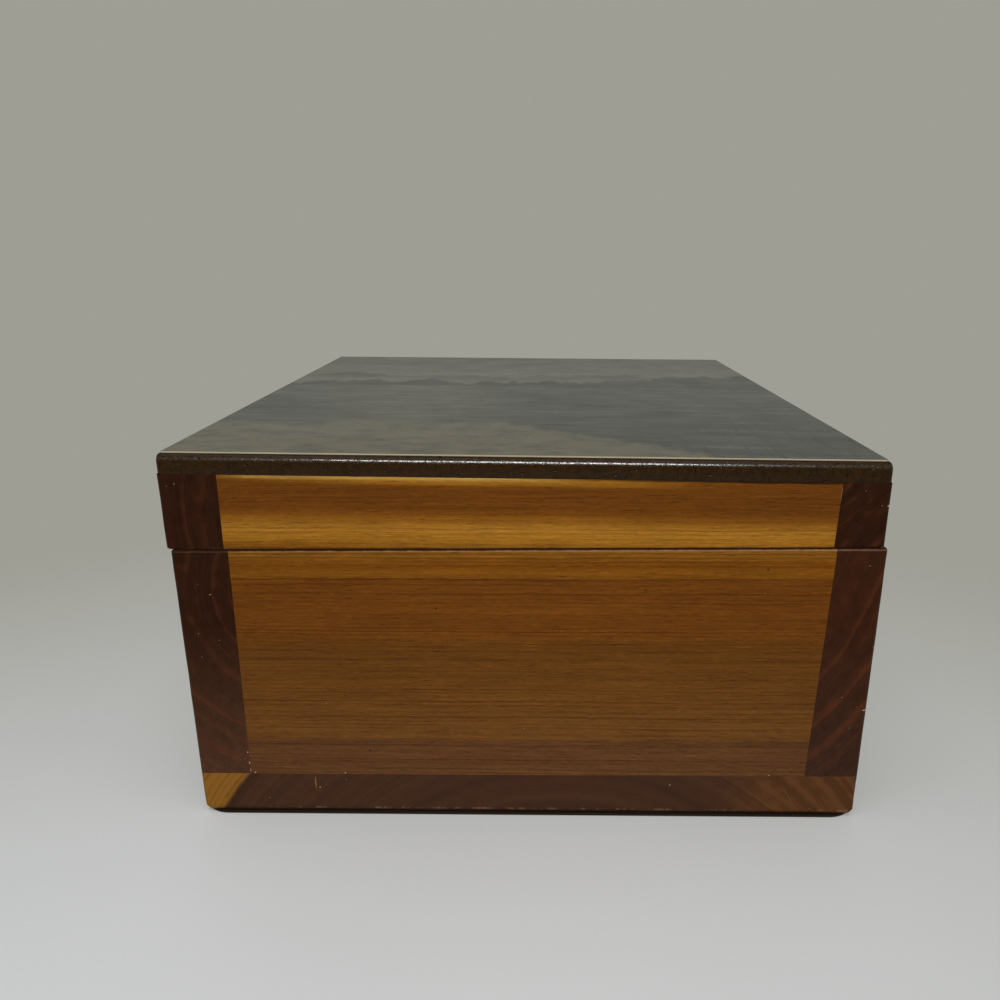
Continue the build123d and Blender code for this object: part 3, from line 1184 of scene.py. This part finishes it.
@dataclass
class Wardrobe:
    """Every finish of the box, each built once."""

    finishes: dict[str, Any] = field(init=False)
    built: dict[str, bpy.types.Material] = field(default_factory=dict)

    def __post_init__(self) -> None:
        """Lists the finish of each part."""
        across, deep = Grain.ACROSS, Grain.DEPTH
        self.finishes = {
            "base_front_panel": PanelFinish(
                "front_panel_cedar",
                Log(across, (-60.0, -70.0), ring=1.1, sway=1.6, taper=0.004, seed=1.3),
                bands=BASE_BANDS,
                marks=FRONT_MARKS,
            ),
            "lid_front_rail": PanelFinish(
                "lid_front_cedar",
                Log(across, (-70.0, 10.0), ring=1.1, sway=1.4, taper=0.006, seed=5.1),
                bands=LID_BANDS,
                lines=0.45,
                tilt=0.013,
                crest_height=80.2,
                marks=LID_FRONT_MARKS,
            ),
            "base_back_panel": PanelFinish(
                "back_panel_cedar",
                Log(across, (78.0, 96.0), sway=4.0, taper=0.02, seed=8.7),
                bands=BACK_BANDS,
            ),
            "lid_back_rail": PanelFinish(
                "lid_back_cedar", Log(across, (60.0, 20.0), sway=2.0, taper=0.01, seed=4.4), bands=BACK_BANDS
            ),
            "base_left_side": SideFinish(
                "left_side_cedar",
                Log(deep, (-48.0, 55.0), seed=2.2),
                wear=0.25,
                ledge_wear=0.12,
                marks=LEFT_MARKS,
            ),
            "base_right_side": SideFinish(
                "right_side_cedar",
                Log(deep, (8.0, 75.0), seed=6.6),
                end_top=(0.036, 0.0106, 0.0037),
                end_foot=(0.038, 0.0160, 0.0090),
                wear=0.35,
                ledge_wear=0.26,
                streaks=0.62,
                marks=RIGHT_MARKS,
            ),
            "lid_left_rail": SideFinish(
                "lid_left_cedar", Log(deep, (-30.0, 70.0), seed=3.5), wear=0.3, marks=LID_LEFT_MARKS
            ),
            "lid_right_rail": SideFinish(
                "lid_right_cedar",
                Log(deep, (30.0, 110.0), seed=7.4),
                wear=0.15,
                streaks=0.6,
                marks=LID_RIGHT_MARKS,
            ),
            "bottom_board": BottomFinish(
                "bottom_cedar", Log(deep, (8.0, -52.0), ring=1.45, sway=2.0, seed=9.2), marks=BOTTOM_MARKS
            ),
            "lid_board": HardboardFinish(),
            "lid_print": PrintFinish(),
            "brass": MetalFinish("aged_brass", (0.64, 0.43, 0.14), (0.17, 0.095, 0.035)),
            "screw": MetalFinish(
                "screw_brass", (0.70, 0.52, 0.24), (0.07, 0.040, 0.018), rough=0.26, slot=(102.38, 102.28)
            ),
            "steel": MetalFinish("steel_wire", (0.42, 0.41, 0.39), (0.12, 0.075, 0.05)),
        }

    def material(self, name: str) -> bpy.types.Material:
        """Builds a finish, or gives the one already built.

        Args:
            name: the finish's key.

        Returns:
            The material.
        """
        if name not in self.built:
            self.built[name] = self.finishes[name].material()
            log.info("finish %s", self.built[name].name)
        return self.built[name]

    def dress(self, thing: bpy.types.Object, name: str) -> None:
        """Gives an object one finish.

        Args:
            thing: the object.
            name: the finish's key.
        """
        thing.data.materials.clear()
        thing.data.materials.append(self.material(name))


class Bench:
    """The mesh operations that several pieces share."""

    WELD = 0.001 * MM
    FLAT = math.radians(0.5)
    SHARP = math.radians(30)
    CUT = 1e-6

    @classmethod
    def copied(cls, packed: bpy.types.Object) -> bmesh.types.BMesh:
        """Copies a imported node's mesh, welds it and makes its flat faces whole.

        Args:
            packed: the node's object.

        Returns:
            The mesh.
        """
        shape = bmesh.new()
        shape.from_mesh(packed.data)
        bmesh.ops.remove_doubles(shape, verts=shape.verts, dist=cls.WELD)
        bmesh.ops.dissolve_limit(shape, angle_limit=cls.FLAT, verts=shape.verts, edges=shape.edges)
        return shape

    @staticmethod
    def bevel(
        shape: bmesh.types.BMesh, edges: Iterable[bmesh.types.BMEdge], width: float, segments: int
    ) -> None:
        """Rounds edges over.

        Args:
            shape: the mesh.
            edges: the edges to round.
            width: the rounding's width.
            segments: its number of faces across.
        """
        bmesh.ops.bevel(
            shape,
            geom=list(edges),
            offset=width,
            offset_type="OFFSET",
            segments=segments,
            profile=0.5,
            affect="EDGES",
            clamp_overlap=True,
            material=-1,
        )

    @classmethod
    def divide(cls, shape: bmesh.types.BMesh, axis: Axis, places: Iterable[float]) -> None:
        """Divides every face along planes square to an axis.

        Args:
            shape: the mesh.
            axis: the axis that the planes are square to.
            places: where the planes lie along it.
        """
        normal = Vector((0.0, 0.0, 0.0))
        normal[axis] = 1.0
        for place in places:
            geometry = shape.verts[:] + shape.edges[:] + shape.faces[:]
            bmesh.ops.bisect_plane(
                shape, geom=geometry, dist=cls.CUT, plane_co=normal * place, plane_no=normal
            )

    @classmethod
    def grid(cls, shape: bmesh.types.BMesh, axis: Axis, step: float) -> None:
        """Divides every face at even steps along an axis.

        Args:
            shape: the mesh.
            axis: the axis that the planes are square to.
            step: the distance between divisions.
        """
        low = min(vertex.co[axis] for vertex in shape.verts)
        high = max(vertex.co[axis] for vertex in shape.verts)
        count = int((high - low) / step)
        cls.divide(shape, axis, (low + (high - low) * number / count for number in range(1, count)))

    @classmethod
    def piece(
        cls, name: str, shape: bmesh.types.BMesh, body: str, slot: str, nodes: Sequence[str]
    ) -> bpy.types.Object:
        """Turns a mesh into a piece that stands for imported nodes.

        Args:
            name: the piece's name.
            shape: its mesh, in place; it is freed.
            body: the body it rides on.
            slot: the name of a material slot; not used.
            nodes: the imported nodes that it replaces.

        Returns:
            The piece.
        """
        mesh = bpy.data.meshes.new(name)
        shape.to_mesh(mesh)
        shape.free()
        if mesh.has_custom_normals:
            mesh.attributes.remove(mesh.attributes["custom_normal"])
        mesh.polygons.foreach_set("use_smooth", [True] * len(mesh.polygons))
        mesh.set_sharp_from_angle(angle=cls.SHARP)
        piece = bpy.data.objects.new(name, mesh)
        bpy.context.scene.collection.objects.link(piece)
        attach(piece, body)
        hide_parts(*nodes)
        return piece


@dataclass
class Board:
    """A cedar board with its edges rubbed uneven by hand and by use.

    Its mesh is divided at each step along the grain, and less often upwards and across.
    """

    node: str
    body: str
    slot: str
    grain: Grain
    step: float = 1.6 * MM
    steps_up: int = 3
    steps_across: int = 2
    wear: float = 0.13 * MM
    ripple: float = 5.0 * MM
    ripple_share: float = 0.9
    chip: float = 1.3 * MM
    chip_share: float = 1.1
    chip_floor: float = 0.12
    slope: float = 0.3
    margin: float = 2.1 * MM
    foot_line: float | None = None

    def build(self, frame: Mapping[str, Any], wardrobe: Wardrobe) -> bpy.types.Object:
        """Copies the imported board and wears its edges.

        Args:
            frame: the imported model.
            wardrobe: the finishes.

        Returns:
            The board.
        """
        shape = Bench.copied(frame["nodes"][self.node])
        Bench.grid(shape, Axis.X if self.grain is Grain.ACROSS else Axis.Y, self.step)
        Bench.grid(shape, Axis.Z, self.step * self.steps_up)
        if self.foot_line is not None:
            Bench.divide(shape, Axis.Z, [self.foot_line])
            Bench.grid(shape, Axis.X, self.step * self.steps_across)
        self._rub(shape)
        board = Bench.piece("worn_" + self.node, shape, self.body, self.slot, [self.node])
        wardrobe.dress(board, self.node)
        log.info("board %s: %d faces", board.name, len(board.data.polygons))
        return board

    def _rub(self, shape: bmesh.types.BMesh) -> None:
        """Moves the points of the outer sloped edges inwards by uneven amounts.

        Args:
            shape: the board's mesh.
        """
        shape.normal_update()
        low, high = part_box(self.node)
        moves = []
        for vertex in shape.verts:
            depths = [min(place - start, end - place) for place, start, end in zip(vertex.co, low, high)]
            outer = sum(depth < self.margin for depth in depths) > 1
            if outer and any(self._is_sloped(face.normal) for face in vertex.link_faces):
                ripples = max(0.0, noise.noise(vertex.co / self.ripple)) * self.ripple_share
                chips = max(0.0, noise.noise(vertex.co / self.chip) - self.chip_floor) * self.chip_share
                moves.append((vertex, (ripples + chips) * self.wear))
        for vertex, depth in moves:
            vertex.co -= vertex.normal * depth

    def _is_sloped(self, normal: Vector) -> bool:
        """Whether a face belongs to a sloped or rounded edge."""
        return sum(abs(part) > self.slope for part in normal) > 1


@dataclass
class LidBoard:
    """The hardboard top: rounded over all round its upper edge, and sloping down to the right."""

    thickness: float = 4.3 * MM
    corner: float = 1.25 * MM
    round_width: float = 1.1 * MM
    round_drop: float = 1.7 * MM
    foot: float = 0.05 * MM
    corner_segments: int = 6
    round_segments: int = 8
    foot_segments: int = 2
    step: float = 1.8 * MM
    unevenness: float = 0.05 * MM
    tolerance: float = 0.01 * MM
    ripple: float = 6.0 * MM
    chip: float = 1.1 * MM

    def build(self, wardrobe: Wardrobe) -> bpy.types.Object:
        """Models the board.

        Args:
            wardrobe: the finishes.

        Returns:
            The board.
        """
        low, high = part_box("lid_board")
        size = high - low
        stretch = self.round_drop / self.round_width
        shape = bmesh.new()
        bmesh.ops.create_cube(shape, size=1.0)
        bmesh.ops.scale(shape, vec=(size.x, size.y, self.thickness / stretch), verts=shape.verts)
        upright = [edge for edge in shape.edges if abs(edge.verts[0].co.z - edge.verts[1].co.z) > MM]
        Bench.bevel(shape, upright, self.corner, self.corner_segments)
        Bench.bevel(shape, self._loop(shape, 1.0), self.round_width, self.round_segments)
        bmesh.ops.scale(shape, vec=(1.0, 1.0, stretch), verts=shape.verts)
        Bench.bevel(shape, self._loop(shape, -1.0), self.foot, self.foot_segments)
        Bench.grid(shape, Axis.X, self.step)
        Bench.grid(shape, Axis.Y, self.step)
        self._unsettle(shape, size)
        slope = Matrix.Identity(4)
        slope[2][0] = -(size.z - self.thickness) / size.x
        bmesh.ops.transform(shape, matrix=Matrix.Translation((low + high) / 2) @ slope, verts=shape.verts)
        board = Bench.piece("hardboard_top", shape, "lid", "dark_hardboard", ["lid_board"])
        wardrobe.dress(board, "lid_board")
        log.info("lid board: %d faces", len(board.data.polygons))
        return board

    def _loop(self, shape: bmesh.types.BMesh, side: float) -> list[bmesh.types.BMEdge]:
        """The edges round the top or the bottom face.

        Args:
            shape: the board's mesh, about its own middle.
            side: 1 for the top, -1 for the bottom.

        Returns:
            The edges.
        """
        level = max(vertex.co.z * side for vertex in shape.verts) - self.tolerance
        return [edge for edge in shape.edges if all(vertex.co.z * side > level for vertex in edge.verts)]

    def _unsettle(self, shape: bmesh.types.BMesh, size: Vector) -> None:
        """Makes the sides slightly uneven, as a sawn and sanded edge is.

        Args:
            shape: the board's mesh, about its own middle.
            size: the board's length on each axis.
        """
        inner_x, inner_y = size.x / 2 - self.round_width, size.y / 2 - self.round_width
        for vertex in shape.verts:
            place = vertex.co
            by_side, by_end = abs(place.x) > inner_x, abs(place.y) > inner_y
            if by_side or by_end:
                ripple, chip = noise.noise(place / self.ripple), noise.noise(place / self.chip)
                depth = 0.5 + ripple * 0.5 + chip * 0.3
                away = Vector((place.x / size.x, place.y / size.y, 0.0)).normalized()
                away = Vector((away.x, 0.0, 0.0)) if by_side else Vector((0.0, away.y, 0.0))
                vertex.co -= away * max(0.0, depth) * self.unevenness


@dataclass
class LidPrint:
    """The printed sheet, whose cut edge isn't quite straight."""

    step: float = 1.4 * MM
    ragged: float = 0.12 * MM
    upright: float = 0.5
    ripple: float = 7.0 * MM
    chip: float = 1.6 * MM

    def build(self, frame: Mapping[str, Any], wardrobe: Wardrobe) -> bpy.types.Object:
        """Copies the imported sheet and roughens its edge.

        Args:
            frame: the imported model.
            wardrobe: the finishes.

        Returns:
            The sheet.
        """
        shape = Bench.copied(frame["nodes"]["lid_print"])
        Bench.grid(shape, Axis.X, self.step)
        Bench.grid(shape, Axis.Y, self.step)
        shape.normal_update()
        sides = [face for face in shape.faces if abs(face.normal.z) < self.upright]
        cut_edge = {vertex for face in sides for vertex in face.verts}
        for vertex in shape.verts:
            if vertex in cut_edge:
                flat = Vector((vertex.normal.x, vertex.normal.y, 0.0)).normalized()
                place = Vector((vertex.co.x, vertex.co.y, 0.0))
                ripple, chip = noise.noise(place / self.ripple), noise.noise(place / self.chip)
                vertex.co -= flat * max(0.0, 0.3 + ripple * 0.5 + chip * 0.3) * self.ragged
        sheet = Bench.piece("varnished_print", shape, "lid", "printed_sheet", ["lid_print"])
        wardrobe.dress(sheet, "lid_print")
        log.info("print: %d faces", len(sheet.data.polygons))
        return sheet


BOARD_SLOTS = {Grain.DEPTH: "cedar_side", Grain.ACROSS: "cedar_panel"}


@dataclass
class Base:
    """The lower half: four walls on a bottom board, held from below by wire brads."""

    walls: tuple[tuple[str, Grain], ...] = (
        ("base_left_side", Grain.DEPTH),
        ("base_right_side", Grain.DEPTH),
        ("base_front_panel", Grain.ACROSS),
        ("base_back_panel", Grain.ACROSS),
    )
    foot_line: float = 2.3 * MM

    def build(self, frame: Mapping[str, Any], wardrobe: Wardrobe) -> None:
        """Builds and dresses the lower half.

        Args:
            frame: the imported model.
            wardrobe: the finishes.
        """
        for node, grain in self.walls:
            Board(node, "base", BOARD_SLOTS[grain], grain).build(frame, wardrobe)
        bottom = Board("bottom_board", "base", "cedar_end_grain", Grain.DEPTH, foot_line=self.foot_line)
        bottom.build(frame, wardrobe)
        wardrobe.dress(frame["nodes"]["bottom_brads"], "steel")
        log.info("brads dressed")


@dataclass
class Lid:
    """The upper half: four rails under a hardboard top with its print."""

    rails: tuple[tuple[str, Grain], ...] = (
        ("lid_left_rail", Grain.DEPTH),
        ("lid_right_rail", Grain.DEPTH),
        ("lid_front_rail", Grain.ACROSS),
        ("lid_back_rail", Grain.ACROSS),
    )

    def build(self, frame: Mapping[str, Any], wardrobe: Wardrobe) -> None:
        """Builds and dresses the upper half.

        Args:
            frame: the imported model.
            wardrobe: the finishes.
        """
        for node, grain in self.rails:
            Board(node, "lid", BOARD_SLOTS[grain], grain).build(frame, wardrobe)
        LidBoard().build(wardrobe)
        LidPrint().build(frame, wardrobe)


@dataclass
class Hinges:
    """Two rolled brass butt hinges, with their screws."""

    leaves: tuple[str, ...] = (
        "left_hinge_base_leaf",
        "right_hinge_base_leaf",
        "left_hinge_lid_leaf",
        "right_hinge_lid_leaf",
    )
    pins: tuple[str, ...] = ("left_hinge_pin", "right_hinge_pin")
    screws: tuple[str, ...] = ("base_hinge_screws", "lid_hinge_screws")

    def dress(self, frame: Mapping[str, Any], wardrobe: Wardrobe) -> None:
        """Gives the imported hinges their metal.

        Args:
            frame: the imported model.
            wardrobe: the finishes.
        """
        for name in self.leaves + self.pins:
            wardrobe.dress(frame["nodes"][name], "brass")
        for name in self.screws:
            wardrobe.dress(frame["nodes"][name], "screw")
        log.info("hinges dressed: %d nodes", len(self.leaves + self.pins + self.screws))


@dataclass(frozen=True)
class SoftLight:
    """A soft rectangular light, in metres and watts."""

    name: str
    place: Point
    target: Point
    size: tuple[float, float]
    power: float

    def build(self) -> None:
        """Makes the light and points it at its target."""
        lamp = bpy.data.lights.new(self.name, "AREA")
        lamp.shape = "RECTANGLE"
        lamp.size, lamp.size_y = self.size
        lamp.energy = self.power
        light = bpy.data.objects.new(self.name, lamp)
        aim = Vector(self.target) - Vector(self.place)
        turned = aim.to_track_quat("-Z", "Y").to_matrix().to_4x4()
        light.matrix_world = Matrix.Translation(self.place) @ turned
        bpy.context.scene.collection.objects.link(light)


@dataclass
class Studio:
    """A wide pale floor with a painted contact shadow, a plain pale background and two soft lights.

    The floor's fade into the background and the painted contact shadow under the box are in millimetres.
    """

    floor_radius: float = 6.0
    floor_corners: int = 96
    floor_rough: float = 0.42
    floor_shine: float = 0.25
    near_floor: Colour = (0.71, 0.725, 0.72)
    cloth: Pattern = Pattern((0.01, 0.01, 0.01), 3.0)
    # painted contact shadow colour on the floor under the box's foot
    painted_contact_shadow: Colour = (0.030, 0.020, 0.012)
    fade_middle: tuple[float, float] = (-30.0, -160.0)
    fade: Span = (30.0, 340.0)
    shadow_corner: float = 5.5
    shadow_reach: float = 0.35
    contact_blur: Span = (0.3, -0.1)
    background: Colour = (0.347, 0.342, 0.302)
    fill: Colour = (0.38, 0.385, 0.39)
    lights: tuple[SoftLight, ...] = (
        SoftLight("ceiling_light", (-0.1, -0.55, 1.6), (0.0, 0.0, 0.05), size=(1.5, 1.0), power=7.6),
        SoftLight("front_light", (0.0, -1.3, 0.62), (0.0, 0.0, 0.04), size=(0.58, 0.17), power=9.2),
    )

    def build(self) -> None:
        """Makes the floor, the world and the lights."""
        self._floor()
        self._world()
        for light in self.lights:
            light.build()
        log.info("studio: floor, background and %d lights", len(self.lights))

    def _floor(self) -> None:
        """Makes a round floor that turns into the background further out."""
        mesh = bpy.data.meshes.new("floor")
        shape = bmesh.new()
        bmesh.ops.create_circle(
            shape, cap_ends=True, segments=self.floor_corners, radius=self.floor_radius
        )
        shape.to_mesh(mesh)
        shape.free()
        floor = bpy.data.objects.new("floor", mesh)
        bpy.context.scene.collection.objects.link(floor)
        shader = Shader(bpy.data.materials.new("pale_floor"))
        place = shader.place()
        x, y, _ = shader.parts(place)
        away_x, away_y = x - self.fade_middle[0], y - self.fade_middle[1]
        away = (away_x * away_x + away_y * away_y) ** 0.5
        # painted contact shadow under the box; it is also kept out of the fade into the background
        under = self._contact_shadow_mask(x, y)
        cloth = self.cloth.over(shader, place)
        ground = shader.brighten(self.near_floor, cloth * 0.06 + 0.97)
        pale = shader.node(
            "ShaderNodeBsdfPrincipled",
            None,
            {
                "Base Color": shader.mix(under, ground, self.painted_contact_shadow),
                "Roughness": self.floor_rough,
                "Specular IOR Level": self.floor_shine,
            },
        )
        glow = shader.node("ShaderNodeEmission", None, {"Color": self.background, "Strength": 1.0})
        share = away.between(*self.fade) * (1 - under)
        both = shader.node("ShaderNodeMixShader", None, {0: share, 1: pale.outputs[0], 2: glow.outputs[0]})
        shader.node("ShaderNodeOutputMaterial", None, {0: both.outputs[0]})
        mesh.materials.append(shader.owner)

    def _contact_shadow_mask(self, x: Value, y: Value) -> Value:
        """Where the contact shadow is painted on the floor, just under the box's rounded foot.

        Args:
            x: the place on the floor, in millimetres.
            y: the same along the other axis.

        Returns:
            1 under the box, 0 away from it.
        """
        low, high = (corner * (1 / MM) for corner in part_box("bottom_board"))
        middle, half = (low + high) / 2, (high - low) / 2
        beyond_x = (abs(x - middle.x) - (half.x - self.shadow_corner)).at_least(0.0)
        beyond_y = (abs(y - middle.y) - (half.y - self.shadow_corner)).at_least(0.0)
        overhang = (beyond_x * beyond_x + beyond_y * beyond_y) ** 0.5
        edge = self.shadow_corner + self.shadow_reach
        return overhang.between(*(edge + blur for blur in self.contact_blur))

    def _world(self) -> None:
        """Makes the soft fill light, and the background that the camera and shiny things see."""
        world = bpy.data.worlds.new("studio")
        bpy.context.scene.world = world
        shader = Shader(world)
        rays = shader.node("ShaderNodeLightPath").outputs
        seen = Value(shader, rays["Is Camera Ray"]).at_least(Value(shader, rays["Is Glossy Ray"]))
        unseen_glow = shader.node("ShaderNodeBackground", None, {0: self.fill})
        seen_glow = shader.node("ShaderNodeBackground", None, {0: self.background})
        both = shader.node(
            "ShaderNodeMixShader", None, {0: seen, 1: unseen_glow.outputs[0], 2: seen_glow.outputs[0]}
        )
        shader.node("ShaderNodeOutputWorld", None, {0: both.outputs[0]})


@dataclass
class PhotoCamera:
    """The camera at the photograph's place, in millimetres, with the photograph's lens.

    The picture is a tall one whose lower part was cut away, so its optical middle lies below its centre.
    """

    place: Point = (2.25, -297.66, 123.31)
    forward: Point = (-0.0364, 0.9345, -0.3542)
    right: Point = (0.9993, 0.0342, -0.0126)
    nearest: float = 10.0
    focal_pixels: float = 961.0
    middle_row: float = 620.0
    frame_pixels: float = 1000.0
    sensor_mm: float = 36.0

    def build(self) -> None:
        """Makes the camera and sets it as the scene's own."""
        lens = bpy.data.cameras.new("photo_camera")
        lens.sensor_width = self.sensor_mm
        lens.lens = self.focal_pixels / self.frame_pixels * self.sensor_mm
        lens.shift_y = self.middle_row / self.frame_pixels - 0.5
        lens.clip_start = self.nearest * MM
        camera = bpy.data.objects.new("photo_camera", lens)
        back = -Vector(self.forward).normalized()
        right = Vector(self.right)
        right = (right - right.project(back)).normalized()
        turned = Matrix((right, back.cross(right), back)).transposed()
        camera.matrix_world = Matrix.Translation(Vector(self.place) * MM) @ turned.to_4x4()
        bpy.context.scene.collection.objects.link(camera)
        bpy.context.scene.camera = camera
        log.info("camera: %.1f mm lens", lens.lens)


def main() -> None:
    """Builds the scene."""
    logging.basicConfig(level=logging.INFO, format="%(name)s: %(message)s")
    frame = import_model()
    wardrobe = Wardrobe()
    Base().build(frame, wardrobe)
    Lid().build(frame, wardrobe)
    Hinges().dress(frame, wardrobe)
    PhotoCamera().build()
    Studio().build()
    bpy.context.scene.view_settings.view_transform = "Standard"


if __name__ == "__main__":
    main()
